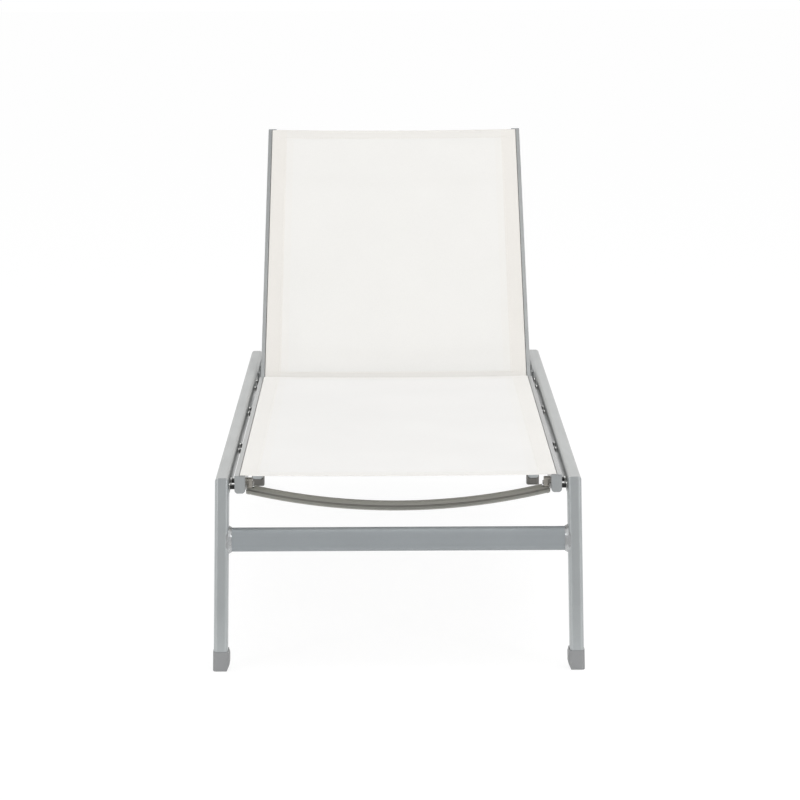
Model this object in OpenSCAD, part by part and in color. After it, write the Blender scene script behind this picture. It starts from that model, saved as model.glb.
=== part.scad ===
// Outdoor chaise lounge: a powder-coated aluminium frame with a stretched mesh
// seat and a reclining mesh backrest, which a bail props on two notched racks.
// X runs across the chaise, Y runs from the foot end to the head end and Z is up.
// Every place along Y is measured from the front face of the front legs.

/* [Frame] */
// Width over the outer faces of the two side rails
frame_w = 660; // [600:5:720]
// Length of each side rail along its top
rail_len = 1500; // [1480:5:1540]
// Height of the top of the side rails above the ground
rail_top = 358; // [340:1:380]
// Width of the side rail and leg tube
tube_w = 25; // [22:0.5:28]
// Depth of the side rail and leg tube
tube_d = 38; // [36:0.5:42]
// Outer corner radius of the side rail and leg tube
tube_r = 7; // [4:0.5:9]
// Wall of the side rail and leg tube
tube_wall = 2; // [1.5:0.1:2.5]

/* [Legs] */
// How far each front foot stands out from its rail
front_splay = 7.5; // [0:0.5:12]
// How far each rear foot stands out from its rail
rear_splay = 13; // [0:0.5:18]
// Slope of the rear legs away from upright, in degrees
rear_rake = 35; // [28:0.5:38]
// Height of the foot caps along the leg
foot_h = 36; // [30:1:45]
// Thickness of the foot caps below the leg
foot_floor = 5; // [3:0.5:7]
// Thickness of the foot caps on the outer, front and back faces
foot_skin = 1.2; // [0.8:0.1:2]
// Thickness of the foot caps on the inner face
foot_inner = 3.8; // [2:0.1:4]
// Height over which a front foot cap tapers in above the ground on its inner face
foot_taper_h = 12; // [8:0.5:14]

/* [Crossbars] */
// Height of the flat oval crossbar tube
crossbar_h = 44; // [40:1:48]
// Depth of the flat oval crossbar tube
crossbar_d = 28; // [24:1:30]
// Wall of the crossbars
crossbar_wall = 2; // [1.5:0.1:2.5]
// Height of the front crossbar's axis
crossbar_z = 241; // [200:1:260]
// Height of the rear crossbar's axis
rear_crossbar_z = 190; // [150:1:210]
// How far the collars stand out round the crossbars at the legs
collar_flare = 4.5; // [3:0.5:4.5]
// Length of the crossbar collars
collar_len = 6; // [4:0.5:8]

/* [Sling rails] */
// Gap between a seat rail and its side rail
rail_gap = 10; // [9:0.5:12]
// Width of a sling rail
sling_rail_w = 19; // [18:0.5:21]
// Height of a sling rail
sling_rail_h = 32; // [30:0.5:34]
// Height of the seat rails above the side rails
seat_rise = 3; // [0:0.5:6]
// Wall of a sling rail
sling_rail_wall = 1.8; // [1.4:0.1:2.2]
// Radius of the lower corners of a sling rail
sling_rail_r = 6; // [4:0.5:7]
// Diameter of the spline channel in a sling rail
channel_dia = 10; // [9.8:0.1:10.4]
// Width of the slot into the spline channel
slot_w = 3; // [2.4:0.1:4]
// Place of the front end of the seat rails
seat_start = 2; // [0:0.5:6]
// Distance from the rear end of the seat rails to the backrest hinge
seat_inset = 69; // [61:1:73]
// Thickness of the sling rail caps
cap_t = 4; // [3:0.5:5]

/* [Backrest] */
// Distance from the backrest hinge to the rear end of the side rails
hinge_inset = 323; // [315:1:326]
// Length of the backrest from its hinge to its tip
back_len = 766; // [720:2:800]
// Length of the back rails in front of the hinge
back_tail = 24; // [20:0.5:28]
// Angle of the backrest above level as it is drawn, in degrees
back_angle = 40; // [36:0.5:44]
// Highest angle of the backrest, in degrees
back_top_angle = 50; // [48:1:52]

/* [Slings] */
// Thickness of the mesh fabric
sling_t = 0.8; // [0.6:0.1:1]
// Sag of the fabric in the middle
sling_sag = 2; // [1:0.5:3]
// Distance from the ends of the rails to the ends of the fabric
sling_inset = 5; // [4.5:0.5:8]
// Clearance round the fabric
sling_gap = 0.35; // [0.3:0.05:0.4]

/* [Spreaders] */
// Outer diameter of the spreaders
spreader_dia = 18.4; // [17:0.2:20]
// Wall of the spreaders
spreader_wall = 2.4; // [2.2:0.1:2.8]
// How far the seat spreaders bow down
seat_bow = 33; // [20:1:40]
// How far the back spreaders bow back
back_bow = 27; // [18:1:36]
// Depth of the groove along the front and back of a spreader
groove_depth = 1.4; // [1:0.1:1.5]
// Place of the front spreader
front_spreader_y = 47; // [45:1:49]
// Share of the seat's length in front of the middle spreader
middle_spreader_share = 0.537; // [0.45:0.001:0.63]
// Distance of the rear spreader from the rear end of the seat rails
rear_spreader_inset = 48; // [44:1:100]
// Distance of the lower back spreader from the hinge
lower_spreader_s = 108; // [96:1:130]
// Distance of the upper back spreader from the tip of the backrest
upper_spreader_inset = 124; // [86:2:206]
// Width of a spreader block along its rail
block_w = 18; // [16:1:24]
// Height of a spreader block
block_h = 17; // [15:0.5:18]
// Thickness of a spreader block off its rail
block_t = 11.5; // [11:0.5:14]

/* [Rail bolts] */
// Shares of the seat's length in front of the second and third pair of bolts
pair_shares = [0.353, 0.722];
// Distance between the two bolts of a pair
pair_pitch = 56; // [52:1:60]
// Distance of a seat rail's last bolt from its rear end
last_bolt_inset = 22; // [18:1:24]
// Diameter of the rail bolts
bolt_dia = 6; // [5:0.5:7]
// Diameter of the nylon spacers round the rail bolts
spacer_dia = 9; // [8.5:0.5:12]

/* [Hinge] */
// Diameter of the hinge bolts and bail pivots
pin_dia = 8; // [7:0.5:9]
// Running clearance of the pins in their bushes
pin_fit = 0.06; // [0.03:0.01:0.09]
// Diameter of the nylon spacers round the hinge bolts and bail pivots
pin_spacer_dia = 13; // [12:0.5:16]
// Outer diameter of the hinge bushes
bush_dia = 11; // [10.6:0.1:11.6]

/* [Bail] */
// Distance of the bail pivot from the hinge
bail_s = 222; // [218:1:226]
// Length of the bail from its pivot to its foot
bail_len = 167; // [165:0.5:169]
// Slope of the bail below level as it is drawn, in degrees
bail_angle = 66.5; // [65:0.5:68]
// Degrees the bail turns for each degree the backrest turns
bail_ratio = 2.52; // [2.48:0.01:2.54]
// Outer diameter of the bail arms
arm_dia = 19; // [17:0.5:21]
// Wall of the bail arms
arm_wall = 1.8; // [1.4:0.1:2.2]
// Distance of a bail arm from its back rail at the pivot
arm_top_inset = 37; // [34:0.5:40]
// Distance of a bail arm from its back rail at the foot
arm_low_inset = 48; // [44:0.5:52]
// Outer diameter of the foot tube
foot_tube_dia = 20; // [18:0.5:21]
// Diameter of the foot rod
rod_dia = 12; // [10:0.5:12.5]

/* [Racks] */
// Angles of the backrest at which the foot rod meets a notch, in degrees
notch_angles = [50, 45, 40, 34, 27.5];
// Depth of the notches below the tips of the teeth
notch_depth = 5; // [3:0.5:6]
// Gap between the foot rod and the tips of the teeth
tip_gap = 0.6; // [0.5:0.1:0.8]
// Thickness of the rack's plate against the side rail
rack_plate_t = 4; // [3:0.5:4]
// Height of the racks left below their lowest notch
rack_web = 12; // [8:0.5:16]
// Distance of the upper edge of the racks below the top of the side rails
rack_high_drop = 8; // [4:1:12]

/* [Back stops] */
// Distance behind the hinge of the stops that carry the backrest when it lies flat
stop_s = 63; // [59:1:69]
// Width of a stop along its rail
stop_w = 24; // [18:1:26]
// Thickness of the rubber pads
pad_t = 6; // [4:0.5:8]

/* [Hidden] */
$fn = 64;
// Overrun of every cut past the faces that it opens
over = 1;
// Reach of the cutting blocks, more than the object's own length
reach = 3000;
// Facets of the wide arcs
arc_fn = 360;

// Side rails and legs
half_w = frame_w / 2;
rail_in_x = half_w - tube_w;
front_tilt = atan(front_splay / rail_top);
rear_tilt = atan(rear_splay * cos(rear_rake) / rail_top);

// Sling rails: the bolt line is the height that all bolts of a sling rail share
hinge_y = rail_len - hinge_inset;
seat_end = hinge_y - seat_inset;
seat_out_x = rail_in_x - rail_gap;
seat_in_x = seat_out_x - sling_rail_w;
slot_x = seat_out_x - sling_rail_w / 2;
line_down = sling_rail_w / 2;
line_up = sling_rail_h - line_down;
bolt_z = rail_top + seat_rise - line_up;
channel_lip = 2.4;
channel_z = line_up - channel_lip - channel_dia / 2;
web_low = channel_z - channel_dia / 2 - sling_rail_wall;
cap_rim = 1.2;
plug_fit = 0.1;
plug_len = 6;
short_plug_len = 3;

// Slings
spline_r = channel_dia / 2 - 2 * sling_gap - sling_t;
loop_r = channel_dia / 2 - sling_gap;
sheet_low = line_up + sling_gap;
sheet_steps = 24;
back_sling_gap = 2;

// Small screws
screw_dia = 4;
screw_head_dia = 8;
screw_head_h = 2.4;

// Spreaders and their blocks, in the frame of their rails
middle_spreader_y = middle_spreader_share * seat_end;
rear_spreader_y = seat_end - rear_spreader_inset;
upper_spreader_s = back_len - upper_spreader_inset;
bow_end_z = -8.8;
block_low = -7;
block_round = 3.5;
block_screw_up = 7;
pocket_w = 5;
pocket_d = 4;
pocket_rim = 3;
screw_n = block_low + block_screw_up;
up_screw_bite = 4.2;
up_head_dia = 6.5;
up_screw_x = seat_in_x - block_t / 2;
bow_end_extra = 1;
notch_len = block_t + screw_head_h + over;
groove_r = 2;

// Fasteners between the seat rails and the side rails
pair_ys = concat([front_spreader_y], [for (share = pair_shares) share * seat_end]);
last_bolt_y = seat_end - last_bolt_inset;
bolt_ys = concat([for (y = pair_ys, side = [-1, 1]) y + side * pair_pitch / 2], [last_bolt_y]);
bolt_fit = 0.15;
nut_flange_t = 1.5;
nut_flange_extra = 4;
nut_wall = 1.5;
nut_len = 12;
head_h = 3;
head_extra = 5;
bush_flange_t = 1.5;
bush_flange_extra = 4;
side_play = 0.3;

// Backrest and bail
foot_r = rod_dia / 2;
rod_fit = 0.1;
arm_top_x = seat_in_x - arm_top_inset;
arm_low_x = seat_in_x - arm_low_inset;
arm_over = 11;
arm_mitre = 14;
arm_lean = 13;
arm_neck = 0.1;
pivot_nut_len = 11;
rod_end_gap = 0.6;
rod_end_x = rail_in_x - rack_plate_t - rod_end_gap;

// Racks: their teeth stand outside the back rails, which pass them on the way to flat
rack_clear = 0.6;
rack_w = rail_gap - rack_plate_t - rack_clear;
lowest_notch_z = min([for (a = notch_angles) foot_point(a)[1]]) - notch_depth - foot_r - tip_gap;
rack_low_z = lowest_notch_z - rack_web;
rack_high_z = rail_top - rack_high_drop;
rack_step = 1;
rack_past = 2;
rack_first = back_top_angle + rack_past;
rack_last = notch_angles[len(notch_angles) - 1] - rack_past;
rack_screw_drop = 6;
rack_screw_shares = [0.15, 0.5, 0.85];

// Back stops
stop_y = hinge_y + stop_s;
stop_arm_t = 5;
pad_in = 16;
stop_reach = rail_gap + pad_in;
stop_gap = 0.3;
stop_screw_pitch = 12;
pad_w = 14;
shelf_top = bolt_z - line_down - stop_gap - pad_t;

// The origin lies below the middle of the object's length
front_y = -foot_skin;
rear_y = hinge_y + back_len * cos(back_angle) + (line_down - cap_rim / 2) * sin(back_angle);
mid_y = (front_y + rear_y) / 2;

silver = [0.63, 0.65, 0.66];
grey = [0.57, 0.58, 0.58];
steel = [0.78, 0.78, 0.78];
black = [0.1, 0.1, 0.1];
white = [0.95, 0.94, 0.92];

// Placing helpers

module placed() {
    translate([0, -mid_y, 0]) children();
}

// The right side is modelled; side is -1 for the left one
module on_side(side) {
    if (side > 0) children();
    else mirror([1, 0, 0]) children();
}

module both_sides() {
    children();
    mirror([1, 0, 0]) children();
}

// Extrudes an outline of X and Z along Y
module along_y(start, len) {
    translate([0, start + len, 0]) rotate([90, 0, 0]) linear_extrude(len) children();
}

// Extrudes an outline of Y and Z along X
module along_x(start, len) {
    translate([start, 0, 0]) rotate([90, 0, 90]) linear_extrude(len) children();
}

module rod_x(start, end, dia) {
    translate([start, 0, 0]) rotate([0, 90, 0]) cylinder(h = end - start, d = dia);
}

// The seat's own frame, with its zero height on the bolt line
module in_seat() {
    translate([0, 0, bolt_z]) children();
}

// The backrest's own frame: Y runs up the rails from the hinge
module in_back() {
    translate([0, hinge_y, bolt_z]) rotate([back_angle, 0, 0]) children();
}

// The bail's own frame: Y runs down the arms from the pivot
module in_bail() {
    pivot = back_point(back_angle, bail_s);
    translate([0, pivot[0], pivot[1]]) rotate([-bail_angle, 0, 0]) children();
}

// Path of the bail's foot

function back_point(angle, s) = [hinge_y + s * cos(angle), bolt_z + s * sin(angle)];
function bail_slope(angle) = angle - back_angle - bail_angle - bail_ratio * (angle - back_angle);
function foot_point(angle) =
    back_point(angle, bail_s) + bail_len * [cos(bail_slope(angle)), sin(bail_slope(angle))];
function path_dir(angle) =
    let (d = foot_point(angle - 0.5 * rack_step) - foot_point(angle + 0.5 * rack_step)) d / norm(d);
function below_path(angle, drop) =
    let (d = path_dir(angle)) foot_point(angle) + drop * [d[1], -d[0]];

// Outlines

module round_box(w, d, r) {
    translate([r, 0]) square([w - 2 * r, d]);
    translate([0, r]) square([w, d - 2 * r]);
    for (x = [r, w - r], y = [r, d - r]) translate([x, y]) circle(r);
}

module side_tube_outline() {
    difference() {
        round_box(tube_w, tube_d, tube_r);
        translate([tube_wall, tube_wall])
            round_box(tube_w - 2 * tube_wall, tube_d - 2 * tube_wall, tube_r - tube_wall);
    }
}

// Outer outline of a sling rail about its slot and bolt line, drawn in by a margin
module rail_outer(margin = 0) {
    side = sling_rail_w / 2 - margin;
    corner = sling_rail_w / 2 - sling_rail_r;
    round_z = sling_rail_r - line_down;
    for (x = [-corner, corner]) translate([x, round_z]) circle(sling_rail_r - margin);
    translate([-corner, margin - line_down]) square([2 * corner, sling_rail_r]);
    translate([-side, round_z]) square([2 * side, line_up - round_z - margin]);
}

// Hollow of a sling rail below its spline channel, drawn in by a margin
module rail_chamber(margin = 0) {
    intersection() {
        rail_outer(sling_rail_wall + margin);
        translate([-sling_rail_w / 2, -line_down]) square([sling_rail_w, line_down + web_low - margin]);
    }
}

module rail_outline() {
    difference() {
        rail_outer();
        rail_chamber();
        translate([0, channel_z]) circle(d = channel_dia);
        translate([-slot_w / 2, channel_z]) square([slot_w, line_up - channel_z + over]);
    }
}

// Fasteners, along +X from the face below their head

module pan_screw(dia, len, head_dia, high) {
    socket_share = 0.5;
    difference() {
        union() {
            rod_x(0, len, dia);
            rod_x(-high, 0, head_dia);
        }
        translate([-high - over, 0, 0]) rotate([0, 90, 0])
            cylinder(h = high * socket_share + over, d = head_dia * socket_share, $fn = 6);
    }
}

// A countersunk screw whose head's face is at zero
module flush_screw(dia, len, head_dia, high) {
    socket_share = 0.45;
    difference() {
        union() {
            rod_x(0, len, dia);
            rotate([0, 90, 0]) cylinder(h = high, d1 = head_dia, d2 = dia);
        }
        translate([-over, 0, 0]) rotate([0, 90, 0])
            cylinder(h = high * socket_share + over, d = head_dia * socket_share, $fn = 6);
    }
}

module flush_hole(dia, len, head_dia, high) {
    rod_x(-over, len, dia);
    rotate([0, 90, 0]) cylinder(h = high, d1 = head_dia, d2 = dia);
}

// A rivet nut whose flange starts at zero
module rivet_nut(dia, len) {
    difference() {
        union() {
            rod_x(0, nut_flange_t, dia + 2 * nut_wall + nut_flange_extra);
            rod_x(0, len, dia + 2 * nut_wall);
        }
        rod_x(-over, len + over, dia + 2 * bolt_fit);
    }
}

module washer_x(start, end, dia, hole) {
    difference() {
        rod_x(start, end, dia);
        rod_x(start - over, end + over, hole);
    }
}

// Frame

// The space past a mitre at a top corner of a side rail; turn is half the corner's turn
module past_mitre(y, turn) {
    translate([0, y, rail_top]) rotate([-turn, 0, 0])
        translate([-reach, 0, -reach]) cube([2 * reach, reach, 2 * reach]);
}

module front_mitre() {
    mirror([0, 1, 0]) past_mitre(0, 45);
}

module rear_mitre() {
    past_mitre(rail_len, (90 - rear_rake) / 2);
}

// Places its children in the frame of a leg: Z runs up the leg from the rail's top corner
module on_leg(y, rake, tilt) {
    translate([half_w, y, rail_top]) rotate([rake, 0, 0]) rotate([0, -tilt, 0]) children();
}

// Distance down a leg's axis from the top corner to the ground
function leg_reach(rake, tilt) = (rail_top - tube_d / 2 * sin(rake)) / (cos(rake) * cos(tilt));

module leg_prism(rake, tilt, margin = 0) {
    top = rake > 0 ? tube_d : tube_d / 2;
    translate([margin - tube_w, margin - tube_d, -leg_reach(rake, tilt) - tube_d])
        linear_extrude(leg_reach(rake, tilt) + tube_d + top)
            round_box(tube_w - 2 * margin, tube_d - 2 * margin, tube_r - margin);
}

module above(z) {
    translate([-reach, -reach, z]) cube([2 * reach, 2 * reach, reach]);
}

module rear_leg_prism() {
    on_leg(rail_len, rear_rake, rear_tilt) leg_prism(rear_rake, rear_tilt);
}

module front_leg_prism() {
    mirror([0, 1, 0]) on_leg(0, 0, front_tilt) leg_prism(0, front_tilt);
}

module front_leg() {
    intersection() {
        difference() {
            front_leg_prism();
            mirror([0, 1, 0]) on_leg(0, 0, front_tilt) leg_prism(0, front_tilt, tube_wall);
            wall_bore(bolt_ys[0], bolt_z, bolt_dia + 2 * nut_wall);
        }
        front_mitre();
        above(foot_floor);
    }
}

module rear_leg() {
    intersection() {
        difference() {
            rear_leg_prism();
            on_leg(rail_len, rear_rake, rear_tilt) leg_prism(rear_rake, rear_tilt, tube_wall);
        }
        rear_mitre();
        above(foot_floor);
    }
}

// A foot cap across its leg, in X and Z: it stands out on the inner side between a slope and a taper
module foot_profile(low, taper) {
    side = tube_w + foot_inner;
    edge = 1.5;
    polygon([
        [foot_skin, low + foot_h], [-tube_w - foot_skin, low + foot_h],
        [-side, low + foot_h - 2 * foot_inner], [-side, low + foot_taper_h],
        [taper - side, low], [taper - side, low - tube_d],
        [foot_skin - edge, low - tube_d], [foot_skin - edge, low], [foot_skin, low + edge]
    ]);
}

module foot_prism(rake, tilt, taper) {
    low = -leg_reach(rake, tilt);
    intersection() {
        translate([-tube_w - foot_inner, -tube_d - foot_skin, low - tube_d])
            linear_extrude(tube_d + foot_h)
                round_box(tube_w + foot_inner + foot_skin, tube_d + 2 * foot_skin, tube_r);
        along_y(-tube_d - foot_skin - over, tube_d + 2 * (foot_skin + over)) foot_profile(low, taper);
    }
}

module front_foot() {
    difference() {
        intersection() {
            mirror([0, 1, 0]) on_leg(0, 0, front_tilt)
                foot_prism(0, front_tilt, foot_inner + foot_skin);
            above(0);
        }
        intersection() {
            front_leg_prism();
            above(foot_floor);
        }
    }
}

module rear_foot() {
    difference() {
        intersection() {
            on_leg(rail_len, rear_rake, rear_tilt) foot_prism(rear_rake, rear_tilt, 0);
            above(0);
        }
        intersection() {
            rear_leg_prism();
            above(foot_floor);
        }
    }
}

// A bore through the inner wall of a side rail
module wall_bore(y, z, dia) {
    translate([0, y, z]) rod_x(rail_in_x - over, rail_in_x + tube_wall + over, dia);
}

module side_rail() {
    difference() {
        translate([rail_in_x, 0, rail_top - tube_d]) along_y(0, rail_len) side_tube_outline();
        front_mitre();
        rear_mitre();
        for (y = bolt_ys) wall_bore(y, bolt_z, bolt_dia + 2 * nut_wall);
        wall_bore(hinge_y, bolt_z, pin_dia + 2 * nut_wall);
        for (y = rack_screw_ys) wall_bore(y, rack_screw_z, screw_dia);
        for (z = stop_screw_zs) wall_bore(stop_y, z, screw_dia);
    }
}

module left_side_rail() {
    color(silver) placed() on_side(-1) side_rail();
}

module right_side_rail() {
    color(silver) placed() on_side(1) side_rail();
}

module front_left_leg() {
    color(silver) placed() on_side(-1) front_leg();
}

module front_right_leg() {
    color(silver) placed() on_side(1) front_leg();
}

module rear_left_leg() {
    color(silver) placed() on_side(-1) rear_leg();
}

module rear_right_leg() {
    color(silver) placed() on_side(1) rear_leg();
}

module front_left_foot() {
    color(grey) placed() on_side(-1) front_foot();
}

module front_right_foot() {
    color(grey) placed() on_side(1) front_foot();
}

module rear_left_foot() {
    color(grey) placed() on_side(-1) rear_foot();
}

module rear_right_foot() {
    color(grey) placed() on_side(1) rear_foot();
}

// Crossbars

front_bar_y = tube_d / 2;
rear_bar_drop = (rear_crossbar_z - rail_top + tube_d / 2 * sin(rear_rake)) / cos(rear_rake);
rear_bar_y = rail_len - tube_d / 2 * cos(rear_rake) - rear_bar_drop * sin(rear_rake);
front_bar_x = rail_in_x + (rail_top - crossbar_z) * tan(front_tilt);
rear_bar_x = rail_in_x - rear_bar_drop * tan(rear_tilt);
bar_flat = crossbar_h - crossbar_d;
collar_rim = 0.8;

// A flat oval bar along X, in its own frame, drawn out by a margin
module oval_x(start, end, margin = 0) {
    for (side = [-1, 1]) translate([0, 0, side * bar_flat / 2])
        rod_x(start, end, crossbar_d + 2 * margin);
    translate([start, -crossbar_d / 2 - margin, -bar_flat / 2])
        cube([end - start, crossbar_d + 2 * margin, bar_flat]);
}

module crossbar(end_x) {
    difference() {
        oval_x(-end_x - tube_w / 2, end_x + tube_w / 2);
        oval_x(-end_x - tube_w, end_x + tube_w, -crossbar_wall);
    }
}

// The flared ring round a crossbar's right end, which runs on into the leg's rounded corners
module collar(end_x) {
    start = end_x - collar_len;
    near = crossbar_d / 2 + collar_rim;
    far = crossbar_d / 2 + collar_flare;
    difference() {
        union() {
            for (side = [-1, 1]) translate([start, 0, side * bar_flat / 2])
                rotate([0, 90, 0]) cylinder(h = collar_len, r1 = near, r2 = far);
            translate([0, 0, -bar_flat / 2]) linear_extrude(bar_flat)
                polygon([[start, -near], [end_x, -far], [end_x, far], [start, near]]);
            oval_x(end_x, end_x + tube_r, collar_flare);
        }
        oval_x(start - over, end_x + tube_r + over);
    }
}

module on_front_bar() {
    translate([0, front_bar_y, crossbar_z]) children();
}

// The rear crossbar stands in line with the raked rear legs
module on_rear_bar() {
    translate([0, rear_bar_y, rear_crossbar_z]) rotate([rear_rake, 0, 0]) children();
}

module front_crossbar() {
    color(silver) placed() difference() {
        on_front_bar() crossbar(front_bar_x);
        both_sides() front_leg_prism();
    }
}

module rear_crossbar() {
    color(silver) placed() difference() {
        on_rear_bar() crossbar(rear_bar_x);
        both_sides() rear_leg_prism();
    }
}

module crossbar_collars() {
    color(silver) placed() both_sides() {
        difference() {
            on_front_bar() collar(front_bar_x);
            front_leg_prism();
        }
        difference() {
            on_rear_bar() collar(rear_bar_x);
            rear_leg_prism();
        }
    }
}

// Sling rails

// One sling rail along Y from start to end, with bores at its bolts and spreader screws
module sling_rail(start, end, bolts, bores, screws) {
    difference() {
        translate([slot_x, 0, 0]) along_y(start, end - start) rail_outline();
        for (y = bolts)
            translate([0, y, 0]) rod_x(seat_in_x - over, seat_out_x + over, bolt_dia + 2 * bolt_fit);
        for (b = bores)
            translate([0, b[0], 0]) rod_x(seat_in_x - over, b[1], b[2]);
        for (y = screws)
            translate([0, y, screw_n]) rod_x(seat_in_x - over, seat_in_x + sling_rail_wall + over, screw_dia);
    }
}

seat_screw_ys = [front_spreader_y, middle_spreader_y, rear_spreader_y];
back_screw_ys = [lower_spreader_s, upper_spreader_s];

module seat_rail() {
    in_seat() sling_rail(seat_start + cap_t, seat_end - cap_t, bolt_ys, [], seat_screw_ys);
}

module left_seat_rail() {
    color(silver) placed() on_side(-1) seat_rail();
}

module right_seat_rail() {
    color(silver) placed() on_side(1) seat_rail();
}

// A cap on a sling rail's end; it faces -Y, with its plug behind it
module rail_cap(plug) {
    translate([slot_x, 0, 0]) {
        along_y(cap_rim, cap_t - cap_rim) rail_outer();
        along_y(0, cap_rim) rail_outer(cap_rim / 2);
        along_y(cap_t, plug) rail_chamber(plug_fit);
    }
}

module rear_rail_cap(plug) {
    mirror([0, 1, 0]) rail_cap(plug);
}

module seat_rail_caps() {
    color(grey) placed() both_sides() in_seat() {
        translate([0, seat_start, 0]) rail_cap(plug_len);
        translate([0, seat_end, 0]) rear_rail_cap(plug_len);
    }
}

// Spreaders

function bow_radius(bow) = (seat_in_x * seat_in_x + bow * bow) / (2 * bow);

// How far a bowed tube's axis lies under the block's lower face at its screw
function bow_drop(bow) =
    let (r = bow_radius(bow), level = block_low - bow_end_z)
    level + sqrt(r * r - up_screw_x * up_screw_x) - sqrt(r * r - seat_in_x * seat_in_x);

// The place of the screw that comes up square to a bowed tube, from the tube's lower side
module on_bow_screw(bow) {
    radius = bow_radius(bow);
    translate([0, 0, bow_end_z - bow + radius]) rotate([0, -asin(up_screw_x / radius), 0])
        translate([0, 0, -radius - spreader_dia / 2]) rotate([0, -90, 0]) children();
}

function up_screw_len(bow) = spreader_dia / 2 + bow_drop(bow) + up_screw_bite;

// A spreader tube's section, with a groove along each side
module bow_outline() {
    difference() {
        circle(d = spreader_dia, $fn = 48);
        circle(d = spreader_dia - 2 * spreader_wall, $fn = 48);
        for (side = [-1, 1]) translate([0, side * (spreader_dia / 2 + groove_r - groove_depth)])
            circle(groove_r, $fn = 24);
    }
}

// A bowed tube between the rails, notched flat under the two blocks
module bow_tube(bow) {
    radius = bow_radius(bow);
    half_arc = asin(seat_in_x / radius) + bow_end_extra;
    difference() {
        intersection() {
            translate([0, 0, bow_end_z - bow + radius]) rotate([90, 0, 0]) rotate([0, 0, 270 - half_arc])
                rotate_extrude(angle = 2 * half_arc, $fn = arc_fn) translate([radius, 0]) bow_outline();
            translate([-seat_in_x, -spreader_dia, -reach / 2])
                cube([2 * seat_in_x, 2 * spreader_dia, reach]);
        }
        both_sides() translate([seat_in_x - notch_len, -spreader_dia, block_low])
            cube([notch_len + over, 2 * spreader_dia, spreader_dia]);
        both_sides() on_bow_screw(bow)
            flush_hole(screw_dia, spreader_dia / 2, up_head_dia, spreader_wall);
    }
}

// A moulded block with rounded lower edges, and a pocket in front and behind next to its rail
module block(bow) {
    difference() {
        along_x(seat_in_x - block_t, block_t) translate([-block_w / 2, block_low]) {
            for (y = [block_round, block_w - block_round]) translate([y, block_round]) circle(block_round);
            translate([block_round, 0]) square([block_w - 2 * block_round, block_h]);
            translate([0, block_round]) square([block_w, block_h - block_round]);
        }
        for (side = [-1, 1])
            translate([seat_in_x - pocket_w, side * block_w / 2 - pocket_d, block_low + pocket_rim])
                cube([pocket_w + over, 2 * pocket_d, block_h - 2 * pocket_rim]);
        translate([0, 0, screw_n]) rod_x(seat_in_x - block_t - over, seat_in_x + over, screw_dia);
        on_bow_screw(bow) rod_x(spreader_dia / 4, up_screw_len(bow), screw_dia);
    }
}

module block_screws(bow) {
    into_rail = 6;
    translate([seat_in_x - block_t, 0, screw_n])
        pan_screw(screw_dia, block_t + into_rail, screw_head_dia, screw_head_h);
    on_bow_screw(bow) flush_screw(screw_dia, up_screw_len(bow), up_head_dia, spreader_wall);
}

module seat_spreader(y) {
    placed() in_seat() translate([0, y, 0]) bow_tube(seat_bow);
}

module front_seat_spreader() {
    color(grey) seat_spreader(front_spreader_y);
}

module middle_seat_spreader() {
    color(grey) seat_spreader(middle_spreader_y);
}

module rear_seat_spreader() {
    color(grey) seat_spreader(rear_spreader_y);
}

module seat_spreader_blocks() {
    color(grey) placed() both_sides() in_seat()
        for (y = seat_screw_ys) translate([0, y, 0]) block(seat_bow);
}

module seat_spreader_screws() {
    color(steel) placed() both_sides() in_seat()
        for (y = seat_screw_ys) translate([0, y, 0]) block_screws(seat_bow);
}

// Slings

function sheet_z(x) = abs(x) > seat_in_x ? sheet_low : sheet_low - sling_sag * (1 - pow(x / seat_in_x, 2));

module sheet_outline() {
    side_xs = [for (i = [0 : sheet_steps]) seat_in_x * (2 * i / sheet_steps - 1)];
    top = [for (x = side_xs) [x, sheet_z(x) + sling_t]];
    low = [for (i = [0 : sheet_steps]) let (x = side_xs[sheet_steps - i]) [x, sheet_z(x)]];
    out = slot_x + sling_t / 2;
    in = slot_x - sling_t / 2;
    join = channel_z + loop_r - sling_t / 2;
    polygon(concat(
        [[-in, join], [-out, join], [-out, sheet_low + sling_t]], top,
        [[out, sheet_low + sling_t], [out, join], [in, join], [in, sheet_low]], low,
        [[-in, sheet_low]]
    ));
}

// The fabric, which turns down through the slot at each edge and goes round the spline
module sling(start, end) {
    along_y(start, end - start) sheet_outline();
    both_sides() along_y(start, end - start) translate([slot_x, channel_z]) difference() {
        circle(loop_r);
        circle(loop_r - sling_t);
    }
}

module splines(start, end) {
    both_sides() translate([slot_x, end, channel_z]) rotate([90, 0, 0])
        cylinder(h = end - start, r = spline_r);
}

module seat_sling() {
    color(white) placed() in_seat() sling(seat_start + sling_inset, seat_end - sling_inset);
}

module seat_splines() {
    color(black) placed() in_seat() splines(seat_start + sling_inset, seat_end - sling_inset);
}

// Fasteners of the seat rails

module rail_bolts() {
    color(steel) placed() both_sides() in_seat()
        for (y = bolt_ys)
            translate([seat_in_x, y, 0])
                pan_screw(bolt_dia, sling_rail_w + rail_gap + nut_len, bolt_dia + head_extra, head_h);
}

module rail_spacers() {
    color(black) placed() both_sides() in_seat()
        for (y = bolt_ys)
            translate([0, y, 0])
                washer_x(seat_out_x, rail_in_x - nut_flange_t, spacer_dia, bolt_dia + 2 * bolt_fit);
}

module rivet_nuts() {
    color(steel) placed() both_sides() in_seat() {
        for (y = bolt_ys)
            translate([rail_in_x - nut_flange_t, y, 0]) rivet_nut(bolt_dia, nut_len);
        translate([rail_in_x - nut_flange_t, hinge_y, 0]) rivet_nut(pin_dia, nut_len);
    }
}

// Hinge

hinge_head_x = seat_in_x - bush_flange_t - side_play;

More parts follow.
